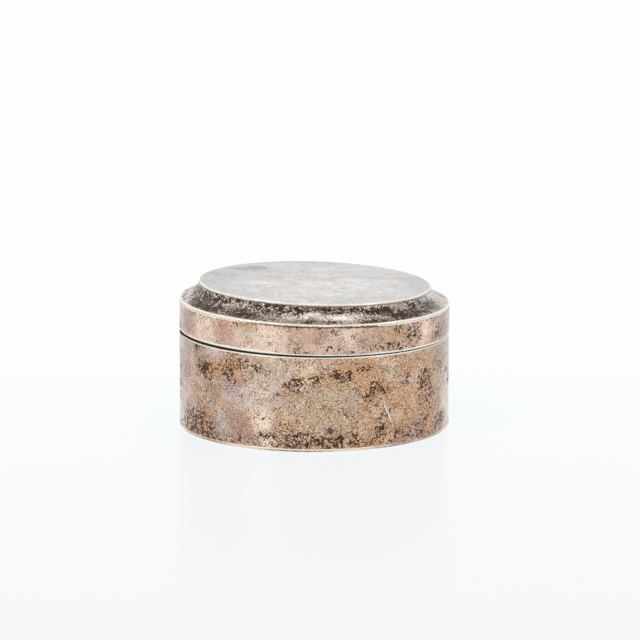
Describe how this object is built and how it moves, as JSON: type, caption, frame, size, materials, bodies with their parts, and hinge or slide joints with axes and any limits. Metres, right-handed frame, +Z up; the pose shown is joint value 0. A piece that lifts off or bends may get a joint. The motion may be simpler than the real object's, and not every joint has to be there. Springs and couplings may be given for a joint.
{
  "type": "lidded box",
  "caption": "Round sheet-metal box with a lift-off lid: straight drum, inner collar, and a lid with a straight skirt, concave shoulder and flat top.",
  "frame": {"origin": "middle of the flat underside, on the surface that the box stands on", "axes": "+Z up along the lid's lift; -Y is the side that faces the viewer, and the rim and lid are a little higher at -X"},
  "size_m": [0.0904, 0.0904, 0.0486],
  "materials": {
    "base_silver": "satin",
    "drum_silver": "satin",
    "collar_silver": "satin",
    "skirt_silver": "satin",
    "cove_silver": "satin",
    "top_silver": "satin"
  },
  "bodies": {
    "box": {"base_plate": "base_silver", "body_wall": "drum_silver", "inner_collar": "collar_silver"},
    "lid": {"lid_skirt": "skirt_silver", "lid_cove": "cove_silver", "lid_top": "top_silver"}
  },
  "joints": [
    {"name": "lid_lift", "type": "slide", "parent": "box", "child": "lid", "axis": [0, 0, 1], "range_m": [0, 0.05]}
  ]
}
